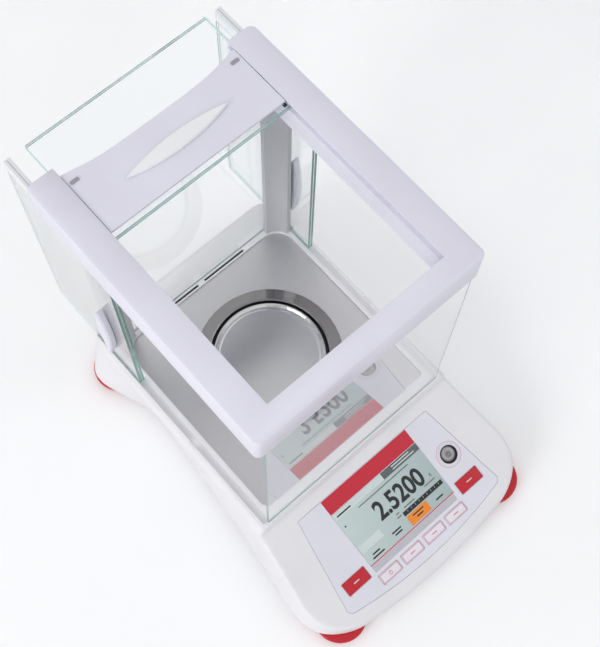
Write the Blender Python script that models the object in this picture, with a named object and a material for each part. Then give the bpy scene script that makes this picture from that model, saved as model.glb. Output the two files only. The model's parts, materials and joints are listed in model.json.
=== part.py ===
"""An analytical balance: a weighing pan in a glass draft shield, on a housing with a sloping control panel.

Run it with: blender --background --python part.py

Everything hangs under one empty on the pan's axis, so X and Y below are measured from that axis, Z from
the table. The origin of the world is under the middle of the whole balance, with the front towards -Y.
The doors stand open, slid to the back.
"""

import math

import bmesh
import bpy

# All sizes are in metres.
GAP = 0.0003                # between pieces that touch
RUNNING = 0.0005            # between pieces that slide past each other

# Housing
HOUSING_FRONT = -0.218      # middle of the bowed front edge
HOUSING_REAR = 0.121
HOUSING_BOTTOM = 0.010
SPLIT_Z = 0.022             # where the two housing shells meet
DECK_Z = 0.078              # flat top of the rear part
RIM_Z = 0.014               # the housing is widest here
SHOULDER_Z = DECK_Z - 0.006     # the flank ends and the edge rounding starts here
FRONT_WIDTH_HALF = 0.1180   # half the width round the front feet
FOOT_WIDTH_HALF = 0.1130    # half the width round the rear feet
WAIST_HALF = 0.0955         # half the width of the waist, low down
WALL = 0.0025
PANEL_WALL = 0.0038         # under the control panel

# Draft shield
GLASS = 0.0022
BASE_HALF = 0.0973
BASE_FRONT = -0.1070
BASE_REAR = 0.1140
BASE_TOP = DECK_Z + 0.005
REAR_WIDTH_HALF = BASE_HALF + 0.0042    # half the housing's width at the shoulder
SIDE_OUTER_X = BASE_HALF - 0.0016       # outer face of the outer side pane
PANE_SPACE = 0.0006                     # between the two panes of a side
FLOOR_HALF = SIDE_OUTER_X - 2 * GLASS - PANE_SPACE - 0.0043
FLOOR_FRONT = BASE_FRONT + 0.0135
FLOOR_REAR = 0.0873
FLOOR_THICK = 0.0020
FLOOR_REAR_RADIUS = 0.0170
FRONT_GLASS_Y = BASE_FRONT + GLASS      # its outer face
FRONT_GLASS_HALF = BASE_HALF - 0.0053
REAR_GLASS_Y = FLOOR_REAR + 0.0051      # its inner face
REAR_GLASS_HALF = FLOOR_HALF - 0.0024
FRAME_HALF = BASE_HALF + 0.0017
FRAME_FRONT = BASE_FRONT + 0.0015
FRAME_REAR = 0.1300
FRAME_TOP = 0.3240
FRAME_HEIGHT = 0.0315
TOP_OPENING_HALF = FRAME_HALF - 0.0230
TOP_OPENING_FRONT = FRAME_FRONT + 0.0169
CROSS_BAR = (FLOOR_REAR + 0.0027, FLOOR_REAR + 0.0167)      # Y span
DRAINS = (FLOOR_REAR + 0.0013, FLOOR_REAR + 0.0033)         # Y span of the slots behind the floor
NOTCH = (-0.020, -0.012)                                    # Y span of the notch in each side

# Control panel
PANEL_TILT = math.radians(20.4)
PANEL_TOP = (BASE_FRONT - 0.010, DECK_Z - 0.015)    # Y and Z of its upper edge
PANEL_LENGTH = 0.0867
PANEL_TOP_HALF = 0.0715
PANEL_LOW_HALF = 0.0858
PANEL_BOW = 0.005
PANEL_THICK = 0.0010
WINDOW_HALF = 0.0472
WINDOW_SPAN = (0.0148, 0.0684)  # down the slope from the panel's upper edge
LCD_MARGIN = 0.0036
LCD_HALF = WINDOW_HALF - LCD_MARGIN
LCD_SPAN = (WINDOW_SPAN[0] + 0.0026, WINDOW_SPAN[1] - 0.0028)
LCD_DEPTH = 0.0090
KEY_SIZE = (0.0206, 0.0088)
KEY_ROW = 0.0828                # down the slope
KEY_XS = (-0.0374, -0.0124, 0.0126, 0.0373)
TARE_SIZE = (0.0238, 0.0118)
TARE_XS = (-0.0643, 0.0643)
TARE_ROW = 0.0692
KEY_PROUD = 0.0005
KEY_TRAVEL = 0.0004
LEVEL_AT = (0.0642, 0.0411)
LEVEL_BORE = 0.0073
LEVEL_RING = LEVEL_BORE + 0.0020

# Doors, in their open places
SIDE_DOOR_FRONT = 0.0540
SIDE_DOOR_REAR = 0.1615
CARRIER = (0.0026, 0.0123)      # width and height
SIDE_GRIP_AT = (0.0790, 0.1580)
TOP_DOOR_FRONT = 0.0635
TOP_DOOR_REAR = 0.1570
TOP_DOOR_HALF = TOP_OPENING_HALF + 0.0030
TOP_DOOR_DROP = 0.0036          # from the frame's top to the upper pane's top
PLATE_HALF = TOP_OPENING_HALF - 0.0006
PLATE_FRONT = TOP_DOOR_FRONT + 0.0038
PLATE_REAR = 0.1220
PLATE_HOLLOW = 0.0060
PLATE_THICK = 0.0022
GRIP_LENGTH = 0.0880
GRIP_WIDTH = 0.0126
TOP_GRIP_Y = TOP_DOOR_FRONT + 0.0270

# Pan and what carries it
PAN_RADIUS = 0.0475
PAN_TOP = BASE_TOP + 0.003
PAN_THICK = 0.0014
RING_WIDTH = 0.0120
WIND_RING = (PAN_RADIUS + 0.0028, PAN_RADIUS + 0.0028 + RING_WIDTH)
WELL_RADIUS = WIND_RING[0] + 0.0015
STEM_RADIUS = 0.0110
STEM_HOLE = STEM_RADIUS + 0.0020
LOAD_CELL = (0.028, -0.035, 0.062, DECK_Z - 0.034)  # half width, front, rear, top

# Feet
FOOT_RADIUS = 0.0225
FRONT_FOOT = (FOOT_WIDTH_HALF - 0.024, HOUSING_FRONT + 0.027)
REAR_FOOT = (FOOT_WIDTH_HALF - 0.0225, HOUSING_REAR - 0.0175)
PAD_RADIUS = FOOT_RADIUS - 0.005
PAD_THICK = 0.0027
STUD_RADIUS = 0.0040
STUD_TOP = SPLIT_Z

# Main board, on posts
BOARD_Z = HOUSING_BOTTOM + 0.0080
BOARD_THICK = 0.0016
BOARD = (0.070, -0.100, -0.045)     # half width, front, rear

# Screws that hold the housing shells together
SCREW_PLACES = ((-0.082, -0.060), (0.082, -0.060), (-0.082, 0.060), (0.082, 0.060))
SCREW_RADIUS = 0.0015
SCREW_HEAD = (0.0029, 0.0024)   # radius and height
SCREW_SEAT = HOUSING_BOTTOM + 0.0040
SCREW_TOP = SPLIT_Z + 0.0160
SCREW_BOSS = SCREW_RADIUS + 0.0030

# Rear sockets: name, centre X, half width, half height, centre Z
SOCKET_PROUD = 0.0006
SOCKETS = (
    ("serial_port", -0.030, 0.0155, 0.0060, 0.047),
    ("usb_port", 0.008, 0.0060, 0.0055, 0.047),
    ("power_jack", 0.040, 0.0055, 0.0055, 0.047),
)

PAN_Y = -(HOUSING_FRONT + SIDE_DOOR_REAR) / 2     # the pan's axis, from the middle of the balance
FRAME_BOTTOM = FRAME_TOP - FRAME_HEIGHT
CUTTER_REACH = 0.02             # how far a cutter stands out of what it cuts

MATERIALS = {
    "housing": ((0.86, 0.86, 0.89), 0.45, 0.0),
    "frame": ((0.72, 0.71, 0.80), 0.40, 0.0),
    "panel": ((0.80, 0.80, 0.84), 0.35, 0.0),
    "key": ((0.86, 0.83, 0.87), 0.35, 0.0),
    "steel": ((0.60, 0.60, 0.62), 0.30, 1.0),
    "dark_steel": ((0.35, 0.35, 0.37), 0.35, 1.0),
    "glass": ((0.80, 0.93, 0.90), 0.03, 0.0),
    "red": ((0.62, 0.02, 0.05), 0.35, 0.0),
    "black": ((0.03, 0.03, 0.03), 0.50, 0.0),
    "display": ((0.55, 0.62, 0.62), 0.25, 0.0),
    "post": ((0.45, 0.45, 0.48), 0.40, 0.0),
    "board": ((0.03, 0.25, 0.12), 0.50, 0.0),
    "aluminium": ((0.75, 0.75, 0.77), 0.35, 1.0),
    "brass": ((0.80, 0.60, 0.25), 0.30, 1.0),
    "rubber": ((0.05, 0.05, 0.05), 0.80, 0.0),
}


def clear_scene():
    for obj in list(bpy.data.objects):
        bpy.data.objects.remove(obj, do_unlink=True)


def material(slot):
    found = bpy.data.materials.get(slot)
    if found:
        return found
    colour, roughness, metallic = MATERIALS[slot]
    made = bpy.data.materials.new(slot)
    made.use_nodes = True
    shader = made.node_tree.nodes["Principled BSDF"]
    shader.inputs["Base Color"].default_value = (*colour, 1.0)
    shader.inputs["Roughness"].default_value = roughness
    shader.inputs["Metallic"].default_value = metallic
    return made


def empty(name, parent=None, at=(0, 0, 0), tilt=0.0):
    made = bpy.data.objects.new(name, None)
    bpy.context.collection.objects.link(made)
    made.parent = parent
    made.location = at
    made.rotation_euler = (tilt, 0, 0)
    return made


def solid(name, bm, slot, parent, at=(0, 0, 0)):
    """One named object from a bmesh, with its normals facing out."""
    bmesh.ops.recalc_face_normals(bm, faces=bm.faces)
    mesh = bpy.data.meshes.new(name)
    bm.to_mesh(mesh)
    bm.free()
    mesh.shade_smooth()
    mesh.set_sharp_from_angle(angle=math.radians(35))
    mesh.materials.append(material(slot))
    made = bpy.data.objects.new(name, mesh)
    bpy.context.collection.objects.link(made)
    made.parent = parent
    made.location = at
    return made


def boolean(target, bm, name, operation, parent, at=(0, 0, 0)):
    """Cuts a shape from the target, or adds it, with the helper kept out of renders."""
    helper = solid(f"{target.name}_{name}", bm, "black", parent, at)
    helper.hide_render = True
    helper.display_type = "WIRE"
    modifier = target.modifiers.new(name, "BOOLEAN")
    modifier.operation = operation
    modifier.solver = "EXACT"
    modifier.object = helper


def cut(target, bm, name, parent, at=(0, 0, 0)):
    boolean(target, bm, name, "DIFFERENCE", parent, at)


def add(target, bm, name, parent, at=(0, 0, 0)):
    boolean(target, bm, name, "UNION", parent, at)


# ---- Shapes ----

def loft(sections):
    """A closed solid through outlines of equal length, each given as (outline, z)."""
    bm = bmesh.new()
    rings = [[bm.verts.new((x, y, z)) for x, y in outline] for outline, z in sections]
    count = len(rings[0])
    for low, high in zip(rings, rings[1:]):
        for i in range(count):
            j = (i + 1) % count
            bm.faces.new((low[i], low[j], high[j], high[i]))
    bm.faces.new(list(reversed(rings[0])))
    bm.faces.new(rings[-1])
    return bm


def prism(outline, low, high):
    return loft([(outline, low), (outline, high)])


def box(x_span, y_span, z_span):
    (x0, x1), (y0, y1) = x_span, y_span
    return prism([(x0, y0), (x1, y0), (x1, y1), (x0, y1)], *z_span)


def joined(*shapes):
    """Several separate bodies in one bmesh, for use as a cutter."""
    whole = bmesh.new()
    for shape in shapes:
        mesh = bpy.data.meshes.new("joining")
        shape.to_mesh(mesh)
        shape.free()
        whole.from_mesh(mesh)
        bpy.data.meshes.remove(mesh)
    return whole


def turned(profile, steps=48):
    """A solid of revolution about Z. The profile of (radius, z) runs round its section."""
    bm = bmesh.new()
    rings = []
    for radius, z in profile:
        turns = steps if radius > 0 else 1
        angles = [2 * math.pi * i / steps for i in range(turns)]
        rings.append([bm.verts.new((radius * math.cos(a), radius * math.sin(a), z)) for a in angles])
    for first, second in zip(rings, rings[1:] + rings[:1]):
        if len(first) == 1 and len(second) == 1:
            continue
        for i in range(steps):
            j = (i + 1) % steps
            corners = [first[i % len(first)], first[j % len(first)]]
            corners += [second[j % len(second)], second[i % len(second)]]
            bm.faces.new(list(dict.fromkeys(corners)))
    return bm


def rod(radius, low, high, steps=24):
    return turned([(0, low), (radius, low), (radius, high), (0, high)], steps)


def arc(centre, radius, start, end, steps):
    """Points on an arc, with its angles in degrees."""
    angles = [math.radians(start + (end - start) * i / steps) for i in range(steps + 1)]
    return [(centre[0] + radius * math.cos(a), centre[1] + radius * math.sin(a)) for a in angles]


def rounded(x_half, y0, y1, front_radius, rear_radius, steps=5):
    """A rectangle with rounded corners, counter-clockwise from its right front corner."""
    front, rear = front_radius, rear_radius
    return (
        arc((x_half - front, y0 + front), front, -90, 0, steps)
        + arc((x_half - rear, y1 - rear), rear, 0, 90, steps)
        + arc((-x_half + rear, y1 - rear), rear, 90, 180, steps)
        + arc((-x_half + front, y0 + front), front, 180, 270, steps)
    )


def centred(size, radius):
    return rounded(size[0] / 2, -size[1] / 2, size[1] / 2, radius, radius, 3)


def leaf(length, width, steps=12):
    """Two shallow arcs that meet in points, along X."""
    radius = ((length / 2) ** 2 + (width / 2) ** 2) / width
    reach = math.degrees(math.asin(length / 2 / radius))
    drop = radius - width / 2
    upper = arc((0, -drop), radius, 90 - reach, 90 + reach, steps)
    lower = arc((0, drop), radius, 270 - reach, 270 + reach, steps)
    return upper + lower[1:-1]


def curve(points, steps):
    """A smooth open curve through the points, which keeps within them where they lie close."""
    ends = [points[0], *points, points[-1]]
    made = []
    for a, b, c, d in zip(ends, ends[1:], ends[2:], ends[3:]):
        reach = math.dist(b, c)
        leave, arrive = math.dist(a, c), math.dist(b, d)
        for i in range(steps):
            t = i / steps
            made.append(tuple(
                q * (1 + 2 * t) * (1 - t) ** 2 + r * t * t * (3 - 2 * t)
                + reach * ((r - p) / leave * t * (1 - t) ** 2 - (s - q) / arrive * t * t * (1 - t))
                for p, q, r, s in zip(a, b, c, d)
            ))
    return [*made, points[-1]]


def mirrored(half):
    """A closed outline from its right half, which runs from the front to the rear on the centre line."""
    return half + [(-x, y) for x, y in reversed(half[1:-1])]


def inset(outline, distance):
    """The outline moved inwards along its own normals."""
    made = []
    for i, (x, y) in enumerate(outline):
        ax, ay = outline[i - 1]
        bx, by = outline[(i + 1) % len(outline)]
        length = math.hypot(bx - ax, by - ay)
        made.append((x - distance * (by - ay) / length, y + distance * (bx - ax) / length))
    return made


def mix(first, second, share):
    return [
        (ax + (bx - ax) * share, ay + (by - ay) * share)
        for (ax, ay), (bx, by) in zip(first, second)
    ]


# ---- Housing ----

def housing_outline(z):
    """The plan of the housing at a height: bowed in front, waisted, and wide round the feet low down."""
    front, rear, broad = HOUSING_FRONT, HOUSING_REAR, FRONT_WIDTH_HALF
    foot, waist, wide = FOOT_WIDTH_HALF, WAIST_HALF, REAR_WIDTH_HALF
    low = [
        (0, front), (0.040, front + 0.0018), (0.070, front + 0.0050), (broad - 0.0330, front + 0.0080),
        (broad - 0.0215, front + 0.0130), (broad - 0.0118, front + 0.0200), (broad - 0.0048, front + 0.0285),
        (broad - 0.0010, front + 0.0400), (broad, front + 0.0520), (broad - 0.0110, -0.089),
        (waist + 0.0055, -0.027), (waist, 0.030), (waist + 0.0015, rear - 0.069),
        (foot - 0.0080, rear - 0.045), (foot - 0.0010, rear - 0.024), (foot - 0.0020, rear - 0.010),
        (foot - 0.0110, rear - 0.0015), (0.075, rear), (0, rear),
    ]
    high = [
        (0, front + 0.0035), (0.040, front + 0.0055), (0.069, front + 0.0090), (wide - 0.0180, front + 0.0120),
        (wide - 0.0085, front + 0.0175), (wide - 0.0010, front + 0.0255), (wide + 0.0030, front + 0.0350),
        (wide + 0.0045, front + 0.0450), (wide + 0.0045, front + 0.0560), (wide + 0.0010, -0.089),
        (wide, -0.027), (wide, 0.030), (wide, rear - 0.069),
        (wide - 0.0005, rear - 0.045), (wide - 0.0015, rear - 0.024), (wide - 0.0040, rear - 0.010),
        (wide - 0.0120, rear - 0.0015), (0.070, rear), (0, rear),
    ]
    share = min(max((z - RIM_Z) / (SHOULDER_Z - RIM_Z), 0), 1)
    return mirrored(curve(mix(low, high, share), 3))


def slope_z(y):
    """Height of the control panel's plane."""
    return PANEL_TOP[1] + (y - PANEL_TOP[0]) * math.tan(PANEL_TILT)


def above_slope(step_y, drop):
    """Everything over the sloping front, as a cutter with its face turned by a drop along the slope's normal."""
    front = HOUSING_FRONT - CUTTER_REACH
    lower = drop / math.cos(PANEL_TILT)
    top = DECK_Z + CUTTER_REACH
    section = [(front, slope_z(front) - lower), (step_y, slope_z(step_y) - lower), (step_y, top), (front, top)]
    bm = bmesh.new()
    reach = FRONT_WIDTH_HALF + CUTTER_REACH
    left = [bm.verts.new((-reach, y, z)) for y, z in section]
    right = [bm.verts.new((reach, y, z)) for y, z in section]
    bm.faces.new(left)
    bm.faces.new(list(reversed(right)))
    for i in range(4):
        j = (i + 1) % 4
        bm.faces.new((left[j], left[i], right[i], right[j]))
    return bm


def panel_shape(grow=0.0):
    """The control panel's outline: wider below, with a bowed lower edge."""
    top, low, length = PANEL_TOP_HALF + grow, PANEL_LOW_HALF + grow, PANEL_LENGTH + grow
    half = [(0, -length - PANEL_BOW), (low * 0.35, -length - PANEL_BOW * 0.88),
            (low * 0.7, -length - PANEL_BOW * 0.51), (low - 0.003, -length - 0.0004),
            (low, -length + 0.003), (top, grow)]
    return mirrored([*half, (0, grow)])


def key_places():
    """(name, material, size, x, distance down the slope) of each key."""
    names = ("key_power", "key_print", "key_zero", "key_calibrate")
    small = [(n, "key", KEY_SIZE, x, KEY_ROW) for n, x in zip(names, KEY_XS)]
    large = [(n, "red", TARE_SIZE, x, TARE_ROW) for n, x in zip(("key_tare_left", "key_tare_right"), TARE_XS)]
    return small + large


def moved(bm, x, y):
    bmesh.ops.translate(bm, verts=bm.verts, vec=(x, y, 0))
    return bm


def panel_holes(low, high, window_half, window_span, level_radius):
    """Cutters for the window, the keys and the level, through a layer of the panel."""
    window = box((-window_half, window_half), (-window_span[1], -window_span[0]), (low, high))
    level = moved(rod(level_radius, low, high), LEVEL_AT[0], -LEVEL_AT[1])
    keys = []
    for _, _, size, x, row in key_places():
        hole = centred((size[0] + 2 * RUNNING, size[1] + 2 * RUNNING), 0.001)
        keys.append(moved(prism(hole, low, high), x, -row))
    return joined(window, level, *keys)


def make_housing(balance, panel):
    step_y = BASE_FRONT - RUNNING
    levels = (SPLIT_Z + GAP, 0.044, 0.058, SHOULDER_Z)
    sections = [(housing_outline(z), z) for z in levels]
    sections += [(inset(housing_outline(DECK_Z), 0.0012), DECK_Z - 0.0018)]
    sections += [(inset(housing_outline(DECK_Z), 0.0040), DECK_Z)]
    top = solid("top_housing", loft(sections), "housing", balance)
    cut(top, above_slope(step_y, 0), "slope", balance)
    heights = (SPLIT_Z - CUTTER_REACH, 0.044, 0.058, DECK_Z - WALL)
    cavity = solid(
        "top_housing_cavity",
        loft([(inset(housing_outline(z), WALL * 1.6), z) for z in heights]), "housing", balance,
    )
    cavity.hide_render = True
    cavity.display_type = "WIRE"
    cut(cavity, above_slope(step_y + WALL, PANEL_WALL), "ceiling", balance)
    hollow = top.modifiers.new("cavity", "BOOLEAN")
    hollow.operation = "DIFFERENCE"
    hollow.object = cavity
    cut(top, prism(panel_shape(GAP), -PANEL_THICK - GAP, CUTTER_REACH), "panel_recess", panel)
    holes = panel_holes(-CUTTER_REACH, CUTTER_REACH, LCD_HALF + GAP, grown(LCD_SPAN, GAP), LEVEL_RING - 0.001)
    cut(top, holes, "panel_holes", panel)
    cut(top, rod(STEM_HOLE + 0.001, DECK_Z - CUTTER_REACH, DECK_Z + CUTTER_REACH), "stem_hole", balance)
    cut(top, socket_holes(), "sockets", balance)
    for x, y in SCREW_PLACES:
        name = f"screw_{x:.3f}_{y:.3f}"
        boss = prism(arc((x, y), SCREW_BOSS, 0, 345, 23), SPLIT_Z + GAP, DECK_Z - WALL / 2)
        add(top, boss, f"boss_{name}", balance)
        hole = rod(SCREW_RADIUS + GAP, SPLIT_Z - CUTTER_REACH, SCREW_TOP + RUNNING, 16)
        cut(top, moved(hole, x, y), name, balance)

    low_levels = ((0.0040, HOUSING_BOTTOM), (0.0012, HOUSING_BOTTOM + 0.0014), (0, RIM_Z), (0, SPLIT_Z))
    bottom = solid(
        "bottom_housing",
        loft([(inset(housing_outline(z), by), z) for by, z in low_levels]), "housing", balance,
    )
    tray_floor = HOUSING_BOTTOM + WALL
    cut(bottom, loft([(inset(housing_outline(z), WALL * 1.6 + by), z) for by, z in (
        (0.002, tray_floor), (0, RIM_Z + WALL), (0, SPLIT_Z + CUTTER_REACH))]), "tray", balance)
    for x, y in foot_places().values():
        boss = prism(arc((x, y), STUD_RADIUS * 1.8, 0, 345, 23), tray_floor - WALL / 2, STUD_TOP - 0.001)
        add(bottom, boss, f"boss_{x:.3f}_{y:.3f}", balance)
        hole = rod(STUD_RADIUS + GAP, HOUSING_BOTTOM - CUTTER_REACH, STUD_TOP + CUTTER_REACH)
        cut(bottom, moved(hole, x, y), f"stud_{x:.3f}_{y:.3f}", balance)
    for x, y in SCREW_PLACES:
        name = f"screw_{x:.3f}_{y:.3f}"
        boss = prism(arc((x, y), SCREW_BOSS, 0, 345, 23), tray_floor - WALL / 2, SPLIT_Z)
        add(bottom, boss, f"boss_{name}", balance)
        hole = rod(SCREW_RADIUS + GAP, HOUSING_BOTTOM - CUTTER_REACH, SPLIT_Z + CUTTER_REACH, 16)
        cut(bottom, moved(hole, x, y), name, balance)
        seat = rod(SCREW_HEAD[0] + GAP, HOUSING_BOTTOM - CUTTER_REACH, SCREW_SEAT, 20)
        cut(bottom, moved(seat, x, y), f"seat_{name}", balance)
    for x, y in board_posts():
        post = prism(arc((x, y), 0.003, 0, 330, 11), tray_floor - WALL / 2, BOARD_Z - GAP)
        add(bottom, post, f"post_{x:.3f}_{y:.3f}", balance)


def make_screws(balance):
    head_radius, head_height = SCREW_HEAD
    head_top = SCREW_SEAT - GAP
    head_low = head_top - head_height
    recess = head_low + head_height / 2
    profile = [(0, recess), (0.0012, recess), (0.0012, head_low), (head_radius, head_low),
               (head_radius, head_top), (SCREW_RADIUS, head_top), (SCREW_RADIUS, SCREW_TOP), (0, SCREW_TOP)]
    for x, y in SCREW_PLACES:
        name = f"housing_screw_{'front' if y < 0 else 'rear'}_{'left' if x < 0 else 'right'}"
        solid(name, turned(profile, 20), "steel", balance, (x, y, 0))


def grown(span, by):
    return span[0] - by, span[1] + by


def make_panel(panel):
    overlay = solid("control_panel", prism(panel_shape(), -PANEL_THICK, 0), "panel", panel)
    holes = panel_holes(
        -CUTTER_REACH, CUTTER_REACH, WINDOW_HALF + GAP, grown(WINDOW_SPAN, GAP), LEVEL_RING + GAP
    )
    cut(overlay, holes, "holes", panel)
    low, high = -WINDOW_SPAN[1], -WINDOW_SPAN[0]
    window = box((-WINDOW_HALF, WINDOW_HALF), (low, high), (-PANEL_THICK, 0))
    solid("display_window", window, "glass", panel)
    lcd = box((-LCD_HALF, LCD_HALF), (-LCD_SPAN[1], -LCD_SPAN[0]), (-LCD_DEPTH, -PANEL_THICK - GAP))
    solid("lcd_module", lcd, "display", panel)
    for name, slot, size, x, row in key_places():
        key = loft([
            (centred(size, 0.001), key_bottom()), (centred(size, 0.001), KEY_PROUD - 0.0003),
            (inset(centred(size, 0.001), 0.0004), KEY_PROUD),
        ])
        solid(name, key, slot, panel, (x, -row, 0))
    board_low, board_high = TARE_ROW - TARE_SIZE[1], KEY_ROW + KEY_SIZE[1] * 0.6
    side, notch, notch_end = 0.080, LCD_HALF + 0.002, LCD_SPAN[1] + 0.002
    half = [(0, -board_high), (side, -board_high), (side, -board_low), (notch, -board_low),
            (notch, -notch_end), (0, -notch_end)]
    top = -PANEL_WALL - GAP
    solid("key_board", prism(mirrored(half), top - 0.0014, top), "board", panel)
    level_x, level_y = LEVEL_AT[0], -LEVEL_AT[1]
    cup = [(0, -0.008), (LEVEL_RING - 0.0013, -0.008), (LEVEL_RING - 0.0013, -PANEL_THICK),
           (LEVEL_RING, -PANEL_THICK), (LEVEL_RING, 0.00025), (LEVEL_BORE, 0.00025),
           (LEVEL_BORE, -0.006), (0, -0.006)]
    solid("level_cup", turned(cup, 32), "black", panel, (level_x, level_y, 0))
    vial = rod(LEVEL_BORE - GAP, -0.006 + GAP, -GAP, 32)
    solid("level_vial", vial, "glass", panel, (level_x, level_y, 0))


def key_bottom():
    """The keys end over the key board, with their travel and a gap to spare."""
    return -PANEL_WALL - GAP + KEY_TRAVEL + GAP


# ---- Electronics and the weighing cell ----

def board_posts():
    half, front, rear = BOARD
    edge = 0.006
    return [(sx * (half - edge), y) for sx in (-1, 1) for y in (front + edge, rear - edge)]


def make_inside(balance):
    half, front, rear = BOARD
    solid("main_board", box((-half, half), (front, rear), (BOARD_Z, BOARD_Z + BOARD_THICK)), "board", balance)
    tray_floor = HOUSING_BOTTOM + WALL + GAP
    cell_half, cell_front, cell_rear, cell_top = LOAD_CELL
    cell = solid("load_cell", box((-cell_half, cell_half), (cell_front, cell_rear), (tray_floor, cell_top)),
                 "aluminium", balance)
    middle = (tray_floor + cell_top) / 2
    reach = cell_half + CUTTER_REACH
    window = box((-reach, reach), (cell_front + 0.016, cell_rear - 0.040), (middle - 0.007, middle + 0.007))
    cut(cell, window, "parallelogram", balance)
    receiver_top = cell_top + 0.016
    solid("load_receiver", rod(0.008, cell_top + GAP, receiver_top), "steel", balance)
    support_low = receiver_top + GAP
    support_top = PAN_TOP - PAN_THICK - GAP
    stem = STEM_RADIUS - 0.005
    cone = [(0, support_low), (stem, support_low), (stem, DECK_Z - 0.004), (STEM_RADIUS, DECK_Z + 0.001),
            (STEM_RADIUS, support_top), (0, support_top)]
    solid("pan_support", turned(cone, 32), "aluminium", balance)
    rear_place = cell_rear - 0.016
    solid("calibration_weight", rod(0.0095, cell_top + GAP, cell_top + 0.015), "brass", balance,
          (-0.013, rear_place, 0))
    motor = rounded(0.0095, -0.012, 0.012, 0.003, 0.003, 3)
    solid("calibration_motor", prism(motor, cell_top + GAP, cell_top + 0.018), "black", balance,
          (0.013, rear_place, 0))
    board_y = HOUSING_REAR - WALL * 1.6 - 0.0065
    solid("interface_board", box((-0.055, 0.055), (board_y, board_y + BOARD_THICK), (tray_floor, DECK_Z - 0.018)),
          "board", balance)
    for name, x, half_width, half_height, z in SOCKETS:
        place = (board_y + BOARD_THICK + GAP, HOUSING_REAR + SOCKET_PROUD)
        shell = solid(name, box((-half_width, half_width), place, (-half_height, half_height)), "steel",
                      balance, (x, 0, z))
        mouth_span = (place[1] - 0.005, place[1] + CUTTER_REACH)
        wall = 0.0012
        mouth = box((wall - half_width, half_width - wall), mouth_span, (wall - half_height, half_height - wall))
        cut(shell, mouth, "mouth", balance, (x, 0, z))


def socket_holes():
    """Cutters through the rear wall, one round each socket."""
    holes = []
    for _, x, half_width, half_height, z in SOCKETS:
        width, height = half_width + GAP, half_height + GAP
        span = (HOUSING_REAR - CUTTER_REACH / 2, HOUSING_REAR + CUTTER_REACH)
        holes.append(box((x - width, x + width), span, (z - height, z + height)))
    return joined(*holes)


# ---- Chamber floor and pan ----

def floor_shape(grow=0.0):
    radius = FLOOR_REAR_RADIUS + grow
    return rounded(FLOOR_HALF + grow, FLOOR_FRONT - grow, FLOOR_REAR + grow, 0.005, radius, 6)


def make_floor(balance):
    low = DECK_Z + GAP
    floor_top = low + FLOOR_THICK
    plate = solid("floor_plate", prism(floor_shape(), low, floor_top), "steel", balance)
    cut(plate, rod(WELL_RADIUS + GAP, low - CUTTER_REACH, floor_top + CUTTER_REACH, 48), "well_hole", balance)
    well = [(STEM_HOLE, low), (WELL_RADIUS, low), (WELL_RADIUS, low + 0.0013), (STEM_HOLE, low + 0.0013)]
    solid("pan_well", turned(well), "black", balance)
    inner, outer = WIND_RING
    foot = floor_top + GAP
    ring = [(outer, foot), (outer, foot + 0.0010), (inner + 0.0013, foot + 0.0053), (inner, foot + 0.0046),
            (inner, foot + 0.0016), (inner + 0.0009, foot + 0.0016), (inner + 0.0011, foot + 0.0040),
            (outer - 0.0011, foot)]
    solid("wind_ring", turned(ring), "dark_steel", balance)
    radius, top, under = PAN_RADIUS, PAN_TOP, PAN_TOP - PAN_THICK
    pan = [(0, top), (radius - 0.0060, top), (radius - 0.0045, top - 0.0007), (radius - 0.0030, top - 0.0007),
           (radius - 0.0017, top + 0.0006), (radius - 0.0005, top + 0.0009), (radius, top + 0.0002),
           (radius, top - 0.0036), (radius - 0.0008, top - 0.0036), (radius - 0.0008, under - 0.0007),
           (radius - 0.0070, under), (0, under)]
    solid("weighing_pan", turned(pan), "steel", balance)


# ---- Draft shield ----

def side_pane_x(which):
    """Inner and outer face of the outer pane, 0, or the inner one, 1."""
    outer = SIDE_OUTER_X - which * (GLASS + PANE_SPACE)
    return outer - GLASS, outer


def groove_span():
    return side_pane_x(1)[0] - RUNNING, SIDE_OUTER_X + RUNNING


def make_base(balance):
    low = DECK_Z + GAP
    outline = rounded(BASE_HALF, BASE_FRONT, BASE_REAR, 0.004, 0.006)
    base = solid("draft_shield_base", prism(outline, low, BASE_TOP), "housing", balance)
    over, under = BASE_TOP + CUTTER_REACH, low - CUTTER_REACH
    cut(base, prism(floor_shape(GAP), under, over), "floor_opening", balance)
    groove_floor = low + 0.002
    slot_low, slot_high = FRONT_GLASS_Y - GAP, FRONT_GLASS_Y + GLASS + GAP
    half = FRONT_GLASS_HALF + GAP
    cut(base, box((-half, half), (slot_low, slot_high), (groove_floor, over)), "front_glass_slot", balance)
    inner, outer = groove_span()
    for name, span in (("left", (-outer, -inner)), ("right", (inner, outer))):
        groove = box(span, (slot_high - 0.001, BASE_REAR + CUTTER_REACH), (groove_floor, over))
        cut(base, groove, f"{name}_groove", balance)
        notch = sorted(math.copysign(x, span[0]) for x in (outer - 0.001, BASE_HALF + CUTTER_REACH))
        cut(base, box(notch, NOTCH, (BASE_TOP - 0.0022, over)), f"{name}_notch", balance)
    half = REAR_GLASS_HALF + GAP
    span = (REAR_GLASS_Y - GAP, REAR_GLASS_Y + GLASS + GAP)
    cut(base, box((-half, half), span, (groove_floor, over)), "rear_glass_slot", balance)
    drains = [box(x_span, DRAINS, (groove_floor, over)) for x_span in ((-0.047, -0.0035), (0.0035, 0.047))]
    cut(base, joined(*drains), "drain_slots", balance)


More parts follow.
